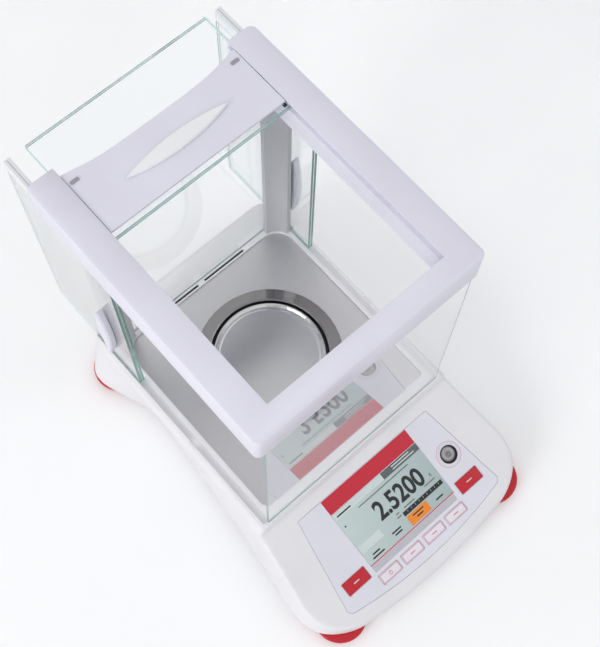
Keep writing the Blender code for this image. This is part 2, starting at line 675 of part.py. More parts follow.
def make_posts(balance):
    """Corner columns that follow the floor's rounded rear corners."""
    centre = (FLOOR_HALF - FLOOR_REAR_RADIUS, FLOOR_REAR - FLOOR_REAR_RADIUS)
    inner = arc(centre, FLOOR_REAR_RADIUS + RUNNING + GAP, 20, 80, 8)
    outer_x, outer_y = groove_span()[0] - GAP, REAR_GLASS_Y - GAP - GAP
    outline = [*inner, (inner[-1][0], outer_y), (outer_x, outer_y), (outer_x, inner[0][1])]
    for name, side in (("rear_post_left", -1), ("rear_post_right", 1)):
        turned_round = [(side * x, y) for x, y in outline]
        solid(name, prism(turned_round, BASE_TOP + GAP, FRAME_BOTTOM - GAP), "post", balance)


def make_fixed_glass(balance):
    low = DECK_Z + 2 * GAP + 0.002
    high = FRAME_BOTTOM - GAP
    front = box((-FRONT_GLASS_HALF, FRONT_GLASS_HALF), (FRONT_GLASS_Y, FRONT_GLASS_Y + GLASS), (low, high))
    solid("front_glass", front, "glass", balance)
    rear = box((-REAR_GLASS_HALF, REAR_GLASS_HALF), (REAR_GLASS_Y, REAR_GLASS_Y + GLASS), (low, high))
    solid("rear_glass", rear, "glass", balance)


def top_pane_z(which):
    """Lower and upper face of the upper pane, 0, or the lower one, 1."""
    top = FRAME_TOP - TOP_DOOR_DROP - which * (GLASS + 0.0007)
    return top - GLASS, top


def channel_top():
    return side_pane_top() + GAP + CARRIER[1] + RUNNING


def side_pane_top():
    return FRAME_BOTTOM + 0.0075


def make_frame(balance):
    outline = rounded(FRAME_HALF, FRAME_FRONT, FRAME_REAR, 0.005, 0.006)
    sections = [(outline, FRAME_BOTTOM), (outline, FRAME_TOP - 0.0015),
                (inset(outline, 0.0005), FRAME_TOP - 0.0005), (inset(outline, 0.0015), FRAME_TOP)]
    frame = solid("top_frame", loft(sections), "frame", balance)
    behind = FRAME_REAR + CUTTER_REACH
    under, over = FRAME_BOTTOM - CUTTER_REACH, FRAME_TOP + CUTTER_REACH
    half = TOP_OPENING_HALF
    cut(frame, box((-half, half), (TOP_OPENING_FRONT, behind), (under, over)), "opening", balance)
    groove = (top_pane_z(1)[0] - RUNNING, top_pane_z(0)[1] + RUNNING)
    reach = TOP_DOOR_HALF + RUNNING
    cut(frame, box((-reach, reach), (TOP_OPENING_FRONT - 0.001, behind), groove), "door_groove", balance)
    inner, outer = groove_span()
    front = FRONT_GLASS_Y + GLASS
    for name, span in (("left", (-outer, -inner)), ("right", (inner, outer))):
        cut(frame, box(span, (front, behind), (under, channel_top())), f"{name}_channel", balance)
    bar_top = groove[0] - GAP
    add(frame, box((-half - 0.001, half + 0.001), CROSS_BAR, (FRAME_BOTTOM, bar_top)), "cross_bar", balance)


def make_side_doors(balance):
    low = DECK_Z + GAP + 0.002 + RUNNING
    top = side_pane_top()
    span = (SIDE_DOOR_FRONT, SIDE_DOOR_REAR)
    for side_name, side in (("left", -1), ("right", 1)):
        for pane_name, which in (("front", 0), ("rear", 1)):
            inner, outer = side_pane_x(which)
            x_span = sorted((side * inner, side * outer))
            name = f"{side_name}_door_{pane_name}"
            solid(f"{name}_pane", box(x_span, span, (low, top)), "glass", balance)
            middle = (inner + outer) / 2
            carrier = sorted((side * (middle - CARRIER[0] / 2), side * (middle + CARRIER[0] / 2)))
            solid(f"{name}_carrier", box(carrier, span, (top + GAP, top + GAP + CARRIER[1])), "housing", balance)
        grip = grip_shape(0.0060)
        place = (side * (SIDE_OUTER_X + GAP), *SIDE_GRIP_AT)
        made = solid(f"{side_name}_door_grip", grip, "frame", balance, place)
        made.rotation_euler = (0, side * math.pi / 2, 0)


def grip_shape(height):
    """A leaf-shaped finger grip, along X, on a face at Z = 0."""
    outline = leaf(GRIP_LENGTH, GRIP_WIDTH)
    slim = [(x * 0.97, y * 0.86) for x, y in outline]
    return loft([(outline, 0), (outline, height * 0.7), (slim, height)])


def make_top_door(balance):
    span = (TOP_DOOR_FRONT, TOP_DOOR_REAR)
    for name, which in (("top_door_front_pane", 0), ("top_door_rear_pane", 1)):
        pane = box((-TOP_DOOR_HALF, TOP_DOOR_HALF), span, top_pane_z(which))
        solid(name, pane, "glass", balance)
    low = top_pane_z(0)[1] + GAP
    high = low + PLATE_THICK
    rear = PLATE_REAR - PLATE_HOLLOW
    half = curve([(PLATE_HALF, PLATE_REAR), (PLATE_HALF * 0.6, rear + 0.001), (0, rear)], 5)
    outline = mirrored([(0, PLATE_FRONT), (PLATE_HALF, PLATE_FRONT), *half])
    solid("top_door_plate", prism(outline, low, high), "frame", balance)
    solid("top_door_grip", grip_shape(0.0036), "housing", balance, (0, TOP_GRIP_Y, high + GAP))


# ---- Feet ----

def foot_places():
    places = {}
    for name, (x, y) in (("front", FRONT_FOOT), ("rear", REAR_FOOT)):
        places[f"{name}_left"] = (-x, y)
        places[f"{name}_right"] = (x, y)
    return places


def make_feet(balance):
    top = HOUSING_BOTTOM - GAP
    low = PAD_THICK + GAP
    for name, (x, y) in foot_places().items():
        knob = [(0, low), (FOOT_RADIUS - 0.0015, low), (FOOT_RADIUS, low + 0.0012), (FOOT_RADIUS, top - 0.0012),
                (FOOT_RADIUS - 0.0012, top), (STUD_RADIUS, top), (STUD_RADIUS, STUD_TOP), (0, STUD_TOP)]
        solid(f"foot_{name}", turned(knob, 36), "red", balance, (x, y, 0))
        pad = [(0, 0), (PAD_RADIUS - 0.0008, 0), (PAD_RADIUS, 0.0008), (PAD_RADIUS, PAD_THICK), (0, PAD_THICK)]
        solid(f"foot_pad_{name}", turned(pad, 28), "rubber", balance, (x, y, 0))


def main():
    clear_scene()
    balance = empty("pan_axis", None, (0, PAN_Y, 0))
    panel = empty("panel_plane", balance, (0, *PANEL_TOP), PANEL_TILT)
    make_housing(balance, panel)
    make_screws(balance)
    make_panel(panel)
    make_inside(balance)
    make_floor(balance)
    make_base(balance)
    make_posts(balance)
    make_fixed_glass(balance)
    make_frame(balance)
    make_side_doors(balance)
    make_top_door(balance)
    make_feet(balance)


main()
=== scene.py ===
"""The looks of the analytical balance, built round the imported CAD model.

All lengths are in metres. The front of the balance faces -Y.
"""

import json
import math

import bmesh
import bpy
from mathutils import Euler, Matrix, Vector


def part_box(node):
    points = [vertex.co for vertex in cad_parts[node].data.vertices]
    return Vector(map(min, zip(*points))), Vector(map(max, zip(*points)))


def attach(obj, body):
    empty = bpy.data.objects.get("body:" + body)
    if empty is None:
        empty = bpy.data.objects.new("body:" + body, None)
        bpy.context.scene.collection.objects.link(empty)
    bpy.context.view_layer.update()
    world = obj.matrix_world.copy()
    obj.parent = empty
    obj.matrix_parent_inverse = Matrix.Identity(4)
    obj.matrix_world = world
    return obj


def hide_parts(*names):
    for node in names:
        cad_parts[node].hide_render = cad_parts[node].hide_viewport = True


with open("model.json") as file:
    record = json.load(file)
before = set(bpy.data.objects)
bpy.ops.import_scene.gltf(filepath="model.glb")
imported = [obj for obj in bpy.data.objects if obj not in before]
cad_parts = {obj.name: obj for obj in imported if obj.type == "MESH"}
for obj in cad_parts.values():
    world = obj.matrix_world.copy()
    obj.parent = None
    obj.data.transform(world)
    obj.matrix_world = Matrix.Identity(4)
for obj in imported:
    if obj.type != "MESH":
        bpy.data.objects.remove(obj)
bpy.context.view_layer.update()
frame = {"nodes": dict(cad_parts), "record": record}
SCENE = bpy.context.scene
NODES = frame["nodes"]
BODY_OF = {node: body for body, nodes in frame["record"]["behaviour"]["bodies"].items() for node in nodes}
SLOT_OF = {entry["node"]: entry["material_slot"] for entry in frame["record"]["subparts"]}


def middle(node):
    low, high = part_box(node)
    return (low + high) / 2


PAN = middle("weighing_pan")

# The control panel's plane, with X to the right, Y up the slope and Z out of the panel
PANEL_TILT = math.radians(20.4)
PANEL_THICK = 0.001
_, panel_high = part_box("control_panel")
PANEL_TOP = Vector((PAN.x, panel_high.y - PANEL_THICK * math.sin(PANEL_TILT), panel_high.z))
PANEL = Matrix.Translation(PANEL_TOP) @ Matrix.Rotation(PANEL_TILT, 4, "X")

INK = 0.00004       # thickness of what is printed
PROUD = 0.00002     # from a surface to the print on it


# ---- Materials ----

def linear(*srgb):
    """A colour in 0 to 255 as the shader takes it."""
    made = []
    for value in srgb:
        share = value / 255
        made.append(share / 12.92 if share <= 0.04045 else ((share + 0.055) / 1.055) ** 2.4)
    return (*made, 1.0)


class Shader:
    """A material with a Principled shader, and short ways to add nodes to it."""

    def __init__(self, name, colour=None, roughness=0.4, metallic=0.0, **sockets):
        self.material = bpy.data.materials.new(name)
        self.material.use_nodes = True
        self.nodes = self.material.node_tree.nodes
        self.links = self.material.node_tree.links
        self.principled = self.nodes["Principled BSDF"]
        self.set("Roughness", roughness)
        self.set("Metallic", metallic)
        if colour:
            self.set("Base Color", colour)
        for key, value in sockets.items():
            self.set(key.replace("_", " ").title().replace("Ior", "IOR"), value)

    def set(self, socket, value):
        self.principled.inputs[socket].default_value = value

    def node(self, kind, **settings):
        made = self.nodes.new(f"ShaderNode{kind}")
        for key, value in settings.items():
            setattr(made, key, value)
        return made

    def link(self, source, target):
        self.links.new(source, target)
        return source

    def coordinates(self, scale=(1, 1, 1), centre=(0, 0, 0), turn=(0, 0, 0)):
        """Object coordinates about a centre, turned and then stretched."""
        found = self.node("TexCoord").outputs["Object"]
        shifted = self.node("Mapping")
        shifted.inputs["Location"].default_value = [-c for c in centre]
        self.link(found, shifted.inputs["Vector"])
        turned = self.node("Mapping")
        turned.inputs["Rotation"].default_value = turn
        turned.inputs["Scale"].default_value = scale
        self.link(shifted.outputs["Vector"], turned.inputs["Vector"])
        return turned.outputs["Vector"]

    def noise(self, vector, scale, detail=3.0, rough=0.5):
        made = self.node("TexNoise")
        made.inputs["Scale"].default_value = scale
        made.inputs["Detail"].default_value = detail
        made.inputs["Roughness"].default_value = rough
        self.link(vector, made.inputs["Vector"])
        return made.outputs["Fac"]

    def ramp(self, value, *stops):
        """A colour ramp through (position, colour) stops."""
        made = self.node("ValToRGB")
        points = made.color_ramp.elements
        while len(points) < len(stops):
            points.new(0.5)
        for point, (place, colour) in zip(points, stops):
            point.position = place
            point.color = colour
        self.link(value, made.inputs["Fac"])
        return made.outputs["Color"]

    def spread(self, value, low, high, start=0.3, end=0.7):
        """The value from start to end, as low to high."""
        made = self.node("MapRange")
        for key, number in (("From Min", start), ("From Max", end), ("To Min", low), ("To Max", high)):
            made.inputs[key].default_value = number
        self.link(value, made.inputs["Value"])
        return made.outputs["Result"]

    def maths(self, operation, first, second=None):
        made = self.node("Math", operation=operation)
        for socket, value in zip(made.inputs, (first, second)):
            if isinstance(value, (int, float)):
                socket.default_value = value
            elif value is not None:
                self.link(value, socket)
        return made.outputs["Value"]

    def bump(self, height, strength, distance):
        made = self.node("Bump")
        made.inputs["Strength"].default_value = strength
        made.inputs["Distance"].default_value = distance
        self.link(height, made.inputs["Height"])
        self.link(made.outputs["Normal"], self.principled.inputs["Normal"])

    def vary_colour(self, value, first, second):
        self.link(self.ramp(value, (0.3, first), (0.7, second)), self.principled.inputs["Base Color"])

    def vary_roughness(self, value, low, high):
        self.link(self.spread(value, low, high), self.principled.inputs["Roughness"])


def shade(colour, share):
    return (*(c * share for c in colour[:3]), 1.0)


def moulded(name, colour, roughness=0.38, texture=900, depth=0.00004, coat=0.0):
    """Moulded plastic: a fine spark-eroded texture and slight patches of colour and gloss."""
    made = Shader(name, roughness=roughness, coat_weight=coat, coat_roughness=0.1)
    place = made.coordinates()
    patches = made.noise(place, 22, 4)
    made.vary_colour(patches, shade(colour, 0.965), shade(colour, 1.015))
    made.vary_roughness(patches, roughness - 0.04, roughness + 0.05)
    made.bump(made.noise(place, texture, 2), 0.35, depth)
    return made.material


def brushed(name, colour, roughness, stretch, centre=(0, 0, 0), grain=1600, depth=0.00001):
    """Steel brushed in straight lines, along the axis with the small stretch."""
    made = Shader(name, roughness=roughness, metallic=1.0)
    place = made.coordinates(stretch, centre)
    lines = made.noise(place, grain, 3, 0.65)
    made.vary_colour(lines, shade(colour, 0.95), shade(colour, 1.03))
    made.vary_roughness(lines, roughness - 0.04, roughness + 0.05)
    made.bump(lines, 0.2, depth)
    return made.material


def spun(name, colour, roughness, centre, rings=1700):
    """Steel turned on a lathe: fine rings about a vertical axis."""
    made = Shader(name, roughness=roughness, metallic=1.0)
    place = made.coordinates((1, 1, 0), centre)
    length = made.node("VectorMath", operation="LENGTH")
    made.link(place, length.inputs[0])
    radius = made.node("CombineXYZ")
    made.link(length.outputs["Value"], radius.inputs["X"])
    lines = made.noise(radius.outputs["Vector"], rings, 3, 0.7)
    made.vary_colour(lines, shade(colour, 0.86), shade(colour, 1.06))
    made.vary_roughness(lines, roughness - 0.06, roughness + 0.08)
    made.bump(lines, 0.22, 0.00002)
    return made.material


def clear_glass(name, tint, edge=False):
    """Glass that lets the lamps' light straight through."""
    made = Shader(name, tint, 0.12 if edge else 0.0, transmission_weight=0.6 if edge else 1.0, ior=1.27)
    light = made.node("LightPath")
    clear = made.node("BsdfTransparent")
    clear.inputs["Color"].default_value = tint
    both = made.node("MixShader")
    made.link(light.outputs["Is Shadow Ray"], both.inputs["Fac"])
    made.link(made.principled.outputs["BSDF"], both.inputs[1])
    made.link(clear.outputs["BSDF"], both.inputs[2])
    made.link(both.outputs["Shader"], made.nodes["Material Output"].inputs["Surface"])
    return made.material


def printed(name, colour, coat=0.2):
    """Ink on a film, with the film's faint grain."""
    made = Shader(name, roughness=0.35, coat_weight=coat, coat_roughness=0.06)
    grain = made.noise(made.coordinates(), 260, 3)
    made.vary_colour(grain, shade(colour, 0.97), shade(colour, 1.02))
    return made.material


WHITE = linear(237, 236, 239)
LAVENDER = linear(232, 230, 242)
M = {
    "housing": moulded("housing_plastic", WHITE, 0.36),
    "frame": moulded("frame_plastic", LAVENDER, 0.34),
    "panel": moulded("panel_film", linear(231, 230, 240), 0.33, 1500, 0.00001, 0.3),
    "key": moulded("key_film", linear(238, 232, 240), 0.33, 1500, 0.00001, 0.3),
    "red": moulded("red_plastic", linear(200, 14, 36), 0.36, coat=0.1),
    "black": moulded("black_plastic", linear(38, 38, 42), 0.45),
    "post": moulded("post_paint", linear(188, 188, 192), 0.40),
    "grip": moulded("grip_plastic", linear(247, 247, 248), 0.32),
    "catch": moulded("catch_plastic", linear(160, 158, 168), 0.40),
    "rubber": moulded("rubber", linear(46, 46, 48), 0.75, 500, 0.0001),
    "steel": brushed("brushed_steel", linear(208, 207, 210), 0.36, (0.04, 1, 1), PAN),
    "pan_steel": spun("pan_steel", linear(208, 208, 210), 0.22, PAN),
    "dark_steel": spun("ring_steel", linear(138, 136, 138), 0.20, PAN, 900),
    "aluminium": brushed("machined_aluminium", linear(205, 206, 210), 0.36, (1, 0.05, 1)),
    "brass": brushed("turned_brass", linear(214, 176, 98), 0.28, (1, 1, 0.05)),
    "glass": clear_glass("clear_glass", linear(254, 255, 255)),
    "glass_edge": clear_glass("glass_edge", linear(172, 214, 205), edge=True),
    "board": moulded("circuit_board", linear(30, 96, 58), 0.40, 300, 0.0001),
}


def display_material():
    """The lit display: grey green, with painted light that makes it paler towards the upper left."""
    made = Shader("display", roughness=0.25, coat_weight=1.0, coat_roughness=0.03)
    centre = PANEL @ Vector((0, -0.04, 0))
    split = made.node("SeparateXYZ")
    made.link(made.coordinates((1, 1, 1), centre), split.inputs["Vector"])
    # Painted light: the colour pales across the screen towards its upper left.
    across = made.maths("MULTIPLY", split.outputs["X"], -5.0)
    painted_light = made.maths("ADD", made.maths("ADD", across, made.maths("MULTIPLY", split.outputs["Y"], 3.5)), 0.5)
    colour = made.ramp(painted_light, (0.2, linear(168, 186, 186)), (0.9, linear(208, 222, 220)))
    made.link(colour, made.principled.inputs["Base Color"])
    return made.material


M["display"] = display_material()
INK_COLOURS = {
    "ink_red": linear(204, 18, 48), "ink_pink": linear(218, 120, 144), "ink_black": linear(16, 18, 20),
    "ink_grey": linear(92, 100, 102), "ink_pale": linear(214, 224, 222), "ink_orange": linear(246, 142, 36),
    "ink_strip": linear(196, 194, 202), "ink_line": linear(120, 112, 120),
}
for ink_name, ink_colour in INK_COLOURS.items():
    M[ink_name] = printed(ink_name, ink_colour)


# ---- Shapes ----

def mesh_object(name, bm, material, transform=None):
    """A new object from a bmesh, shaded smooth but for its sharp edges."""
    bmesh.ops.recalc_face_normals(bm, faces=bm.faces)
    mesh = bpy.data.meshes.new(name)
    bm.to_mesh(mesh)
    bm.free()
    if transform:
        mesh.transform(transform)
    mesh.shade_smooth()
    mesh.set_sharp_from_angle(angle=math.radians(40))
    for each in material if isinstance(material, (list, tuple)) else [material]:
        mesh.materials.append(each)
    made = bpy.data.objects.new(name, mesh)
    SCENE.collection.objects.link(made)
    return made


def bevel(piece, width, segments=3, slot=-1):
    """Rounds the piece's edges, and gives the rounding the material in a slot."""
    made = piece.modifiers.new("rounding", "BEVEL")
    made.width = width
    made.segments = segments
    made.limit_method = "ANGLE"
    made.angle_limit = math.radians(35)
    made.harden_normals = True
    made.material = slot
    return piece


def belongs(piece, body, slot, *nodes):
    """The piece moves with the body, and takes the place of the CAD nodes named."""
    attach(piece, body)
    if nodes:
        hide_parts(*nodes)
    return piece


def loft(sections):
    """A solid through (outline, height) sections of equal length."""
    bm = bmesh.new()
    rings = [[bm.verts.new((x, y, z)) for x, y in outline] for outline, z in sections]
    count = len(rings[0])
    for low, high in zip(rings, rings[1:]):
        for i in range(count):
            j = (i + 1) % count
            bm.faces.new((low[i], low[j], high[j], high[i]))
    bm.faces.new(list(reversed(rings[0])))
    bm.faces.new(rings[-1])
    return bm


def rectangle(x0, x1, y0, y1):
    return [(x0, y0), (x1, y0), (x1, y1), (x0, y1)]


def rounded(x0, x1, y0, y1, radius, steps=6):
    made = []
    corners = ((x1 - radius, y0 + radius), (x1 - radius, y1 - radius), (x0 + radius, y1 - radius),
               (x0 + radius, y0 + radius))
    for turn, (cx, cy) in enumerate(corners):
        for i in range(steps + 1):
            angle = math.radians(90 * (turn - 1) + 90 * i / steps)
            made.append((cx + radius * math.cos(angle), cy + radius * math.sin(angle)))
    return made


def inset(outline, distance):
    """The outline moved inwards, each point square to its neighbours' line."""
    made = []
    for i, (x, y) in enumerate(outline):
        ax, ay = outline[i - 1]
        bx, by = outline[(i + 1) % len(outline)]
        length = math.hypot(bx - ax, by - ay) or 1
        made.append((x - distance * (by - ay) / length, y + distance * (bx - ax) / length))
    return made


def circle(x, y, radius, steps=64):
    return [(x + radius * math.cos(2 * math.pi * i / steps), y + radius * math.sin(2 * math.pi * i / steps))
            for i in range(steps)]


def band(outer, inner, low, high):
    """A flat ring between two outlines of equal length."""
    bm = bmesh.new()
    rings = []
    for outline, z in ((outer, low), (outer, high), (inner, high), (inner, low)):
        rings.append([bm.verts.new((x, y, z)) for x, y in outline])
    count = len(outer)
    for first, second in zip(rings, rings[1:] + rings[:1]):
        for i in range(count):
            j = (i + 1) % count
            bm.faces.new((first[i], first[j], second[j], second[i]))
    return bm


def from_cad(node):
    """The CAD node's own shape, welded so that its edges can be rounded."""
    bm = bmesh.new()
    bm.from_mesh(NODES[node].data)
    bmesh.ops.remove_doubles(bm, verts=bm.verts, dist=1e-6)
    bmesh.ops.join_triangles(bm, faces=bm.faces, angle_face_threshold=0.01, angle_shape_threshold=0.7)
    return bm


def refined(node, material, width, segments=3):
    """The CAD node's shape with rounded edges."""
    made = mesh_object(f"{node}_body", from_cad(node), material)
    bevel(made, width, segments)
    return belongs(made, BODY_OF[node], SLOT_OF[node], node)


# ---- Housing ----

HOUSING_FRONT = -0.218          # this, the rear and the step are from the pan's axis
HOUSING_REAR = 0.121
STEP_Y = -0.1075                # where the sloping front ends
DECK_Z = 0.078
RIM_Z, SHOULDER_Z = 0.014, 0.072    # the plan changes evenly between these heights
SPLIT = (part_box("bottom_housing")[1].z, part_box("top_housing")[0].z)
# (distance in from the plan, height) of the housing's side, which is rounded at the rim and the deck
SIDE_EDGE = (
    (0.0025, 0.0100), (0.0008, 0.0115), (0, 0.0140), (0, 0.0200), (0, 0.0300), (0, 0.0400), (0, 0.0500),
    (0, 0.0600), (0, 0.0680), (0, 0.0720), (0.0008, 0.0750), (0.0022, 0.0770), (0.0040, DECK_Z),
)
VOXEL = 0.0013
SMOOTHING = 14
SCREW_SEAT_RADIUS, SCREW_SEAT_TOP = 0.0032, 0.0140
STEM_HOLE_RADIUS = 0.0128
FILM_BOW = 0.0042               # how far the panel film's lower edge bows out
BOWED_HEIGHT = 0.030            # of the film above its lowest point, where it bows
WELL_GAP = 0.0005               # round each key
WELL_DEPTH = 0.0052
LEVEL_HOLE_RADIUS = 0.0083
SEAT_GAP = 0.0003               # round the film and the sockets
WINDOW_HALF, WINDOW_TOP, WINDOW_LOW = 0.0472, 0.0148, 0.0684    # the last two down the slope


def curve(points, steps):
    """A smooth open curve through the points, which keeps within them where they lie close."""
    ends = [points[0], *points, points[-1]]
    made = []
    for a, b, c, d in zip(ends, ends[1:], ends[2:], ends[3:]):
        reach = math.dist(b, c)
        leave, arrive = math.dist(a, c), math.dist(b, d)
        for i in range(steps):
            t = i / steps
            made.append(tuple(
                q * (1 + 2 * t) * (1 - t) ** 2 + r * t * t * (3 - 2 * t)
                + reach * ((r - p) / leave * t * (1 - t) ** 2 - (s - q) / arrive * t * t * (1 - t))
                for p, q, r, s in zip(a, b, c, d)
            ))
    return [*made, points[-1]]


def housing_outline(z):
    """The plan of the housing at a height: bowed in front, waisted, and wide round the feet low down."""
    front, rear = HOUSING_FRONT, HOUSING_REAR
    broad, foot, waist, wide = 0.1180, 0.1130, 0.0955, 0.1015
    low = [
        (0, front), (0.040, front + 0.0018), (0.070, front + 0.0050), (broad - 0.0330, front + 0.0080),
        (broad - 0.0215, front + 0.0130), (broad - 0.0118, front + 0.0200), (broad - 0.0048, front + 0.0285),
        (broad - 0.0010, front + 0.0400), (broad, front + 0.0520), (broad - 0.0110, -0.089),
        (waist + 0.0055, -0.027), (waist, 0.030), (waist + 0.0015, rear - 0.069),
        (foot - 0.0080, rear - 0.045), (foot - 0.0010, rear - 0.024), (foot - 0.0020, rear - 0.010),
        (foot - 0.0110, rear - 0.0015), (0.075, rear), (0, rear),
    ]
    high = [
        (0, front + 0.0035), (0.040, front + 0.0055), (0.069, front + 0.0090), (wide - 0.0180, front + 0.0120),
        (wide - 0.0085, front + 0.0175), (wide - 0.0010, front + 0.0255), (wide + 0.0030, front + 0.0350),
        (wide + 0.0045, front + 0.0450), (wide + 0.0045, front + 0.0560), (wide + 0.0010, -0.089),
        (wide, -0.027), (wide, 0.030), (wide, rear - 0.069),
        (wide - 0.0005, rear - 0.045), (wide - 0.0015, rear - 0.024), (wide - 0.0040, rear - 0.010),
        (wide - 0.0120, rear - 0.0015), (0.070, rear), (0, rear),
    ]
    share = min(max((z - RIM_Z) / (SHOULDER_Z - RIM_Z), 0), 1)
    between = [(ax + (bx - ax) * share, ay + (by - ay) * share) for (ax, ay), (bx, by) in zip(low, high)]
    half = curve(between, 8)
    return half + [(-x, y) for x, y in reversed(half[1:-1])]


def applied(piece):
    """The piece's mesh with its modifiers worked in."""
    bpy.context.view_layer.update()
    graph = bpy.context.evaluated_depsgraph_get()
    mesh = bpy.data.meshes.new_from_object(piece.evaluated_get(graph))
    old = piece.data
    piece.modifiers.clear()
    piece.data = mesh
    bpy.data.meshes.remove(old)
    return piece


def subtract(piece, *cutters):
    """Takes the cutters, each a bmesh in the row frame, away from the piece."""
    helpers = []
    for index, bm in enumerate(cutters):
        helper = mesh_object(f"cutter_{index}", bm, M["housing"])
        cut = piece.modifiers.new("cut", "BOOLEAN")
        cut.solver = "EXACT"
        cut.object = helper
        helpers.append(helper)
    applied(piece)
    for helper in helpers:
        bpy.data.objects.remove(helper)
    return piece


def block(low, high):
    return loft([(rectangle(low[0], high[0], low[1], high[1]), low[2]),
                 (rectangle(low[0], high[0], low[1], high[1]), high[2])])


def moved(bm, matrix):
    bm.transform(matrix)
    return bm


def slope_cutter():
    """All that lies over the plane of the control panel, in front of the draft shield."""
    front = HOUSING_FRONT - 0.02
    run, top = PANEL_TOP.y - PAN.y, DECK_Z + 0.02
    section = [(y, PANEL_TOP.z + (y - run) * math.tan(PANEL_TILT)) for y in (front, STEP_Y)]
    section += [(STEP_Y, top), (front, top)]
    bm = bmesh.new()
    left = [bm.verts.new((-0.2, PAN.y + y, z)) for y, z in section]
    right = [bm.verts.new((0.2, PAN.y + y, z)) for y, z in section]
    bm.faces.new(left)
    bm.faces.new(list(reversed(right)))
    for i in range(4):
        j = (i + 1) % 4
        bm.faces.new((left[j], left[i], right[i], right[j]))
    bmesh.ops.recalc_face_normals(bm, faces=bm.faces)
    return bm


def panel_outline(grow):
    """The control panel's outline, read from the CAD overlay's own corners."""
    points = [PANEL.inverted() @ v.co for v in NODES["control_panel"].data.vertices]
    edge = {(round(p.x, 5), round(p.y, 5)) for p in points if abs(p.z) < 0.0002}
    hull = bmesh.new()
    for x, y in sorted(edge):
        hull.verts.new((x, y, 0))
    found = bmesh.ops.convex_hull(hull, input=hull.verts)
    rim = [v.co.xy.copy() for v in found["geom"] if isinstance(v, bmesh.types.BMVert)]
    hull.free()
    centre = sum(rim, Vector((0, 0))) / len(rim)
    rim.sort(key=lambda p: math.atan2(p.y - centre.y, p.x - centre.x))
    half, lowest = max(p.x for p in rim), min(p.y for p in rim)
    bowed = []
    for start, end in zip(rim, [*rim[1:], rim[0]]):
        steps = max(1, round((end - start).length / 0.003))
        for index in range(steps):
            p = start.lerp(end, index / steps)
            share = 1 - (p.x / half) ** 2 if p.y < lowest + BOWED_HEIGHT else 0
            bowed.append((p.x, p.y - FILM_BOW * share))
    return inset(bowed, -grow)


def panel_wells():
    """Cutters for the keys and the level, through the film and into the housing."""
    over = 0.01
    wells = []
    for node in NODES:
        if node.startswith("key_") and node != "key_board":
            xs, ys, _ = zip(*(PANEL.inverted() @ v.co for v in NODES[node].data.vertices))
            well = rounded(min(xs) - WELL_GAP, max(xs) + WELL_GAP, min(ys) - WELL_GAP, max(ys) + WELL_GAP,
                           0.001, 3)
            wells.append(moved(loft([(well, -WELL_DEPTH), (well, over)]), PANEL))
    place = PANEL.inverted() @ middle("level_vial")
    level = circle(place.x, place.y, LEVEL_HOLE_RADIUS, 40)
    wells.append(moved(loft([(level, -WELL_DEPTH - 0.004), (level, over)]), PANEL))
    return wells


def add_film():
    """The film over the panel, with its lower edge bowed as the housing's front is."""
    outline = panel_outline(0)
    film = mesh_object("panel_film", loft([(outline, -PANEL_THICK), (outline, 0)]), M["panel"], PANEL)
    half = WINDOW_HALF + 0.0001
    window = rectangle(-half, half, -WINDOW_LOW - 0.0001, 0.0001 - WINDOW_TOP)
    opening = moved(loft([(window, -0.01), (window, 0.01)]), PANEL)
    subtract(film, opening, *panel_wells())
    belongs(bevel(film, 0.00015, 2), "base", "panel", "control_panel")


def add_housing():
    """Both shells, parted from one soft-edged body."""
    sections = []
    for distance, z in SIDE_EDGE:
        outline = housing_outline(z)
        sections.append((inset(outline, distance) if distance else outline, z))
    whole = moved(loft(sections), Matrix.Translation((PAN.x, PAN.y, 0)))
    body = mesh_object("housing_whole", whole, M["housing"])
    subtract(body, slope_cutter())
    remesh = body.modifiers.new("remesh", "REMESH")
    remesh.mode = "VOXEL"
    remesh.voxel_size = VOXEL
    remesh.use_smooth_shade = True
    soften = body.modifiers.new("soften", "SMOOTH")
    soften.factor = 0.5
    soften.iterations = SMOOTHING
    applied(body)
    far = 0.3
    above = block((-far, -far, SPLIT[0]), (far, far, far))
    below = block((-far, -far, -far), (far, far, SPLIT[1]))
    lower = body.copy()
    lower.data = body.data.copy()
    lower.name = "bottom_housing_shell"
    SCENE.collection.objects.link(lower)
    seats = []
    for node in NODES:
        if node.startswith("housing_screw"):
            at = middle(node)
            seat = circle(at.x, at.y, SCREW_SEAT_RADIUS, 32)
            seats.append(loft([(seat, 0), (seat, SCREW_SEAT_TOP)]))
    subtract(lower, above, *seats)
    belongs(lower, "base", "housing", "bottom_housing")
    body.name = "top_housing_shell"
    outline = panel_outline(SEAT_GAP)
    recess = loft([(outline, -PANEL_THICK - SEAT_GAP), (outline, 0.02)])
    holes = [moved(recess, PANEL)]
    holes += panel_wells()
    for node in ("serial_port", "usb_port", "power_jack"):
        low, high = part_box(node)
        gap = Vector((SEAT_GAP, SEAT_GAP, SEAT_GAP))
        holes.append(block(low - gap, high + gap + Vector((0, 0.01, 0))))
    stem = circle(PAN.x, PAN.y, STEM_HOLE_RADIUS, 40)
    holes.append(loft([(stem, DECK_Z - 0.02), (stem, DECK_Z + 0.01)]))
    subtract(body, below, *holes)
    belongs(body, "base", "housing", "top_housing")
    for shell in (body, lower):
        shell.data.shade_smooth()
        shell.data.set_sharp_from_angle(angle=math.radians(45))


# ---- Glass ----

def pane(node):
    """A sheet of glass with ground edges, which show green."""
    low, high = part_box(node)
    size = high - low
    thin = min(range(3), key=lambda axis: size[axis])
    bm = block(low, high)
    for face in bm.faces:
        face.normal_update()
        face.material_index = 0 if abs(face.normal[thin]) > 0.5 else 1
    made = mesh_object(f"{node}_glass", bm, [M["glass"], M["glass_edge"]])
    bevel(made, 0.0002, 2, slot=1)
    return belongs(made, BODY_OF[node], "glass", node)


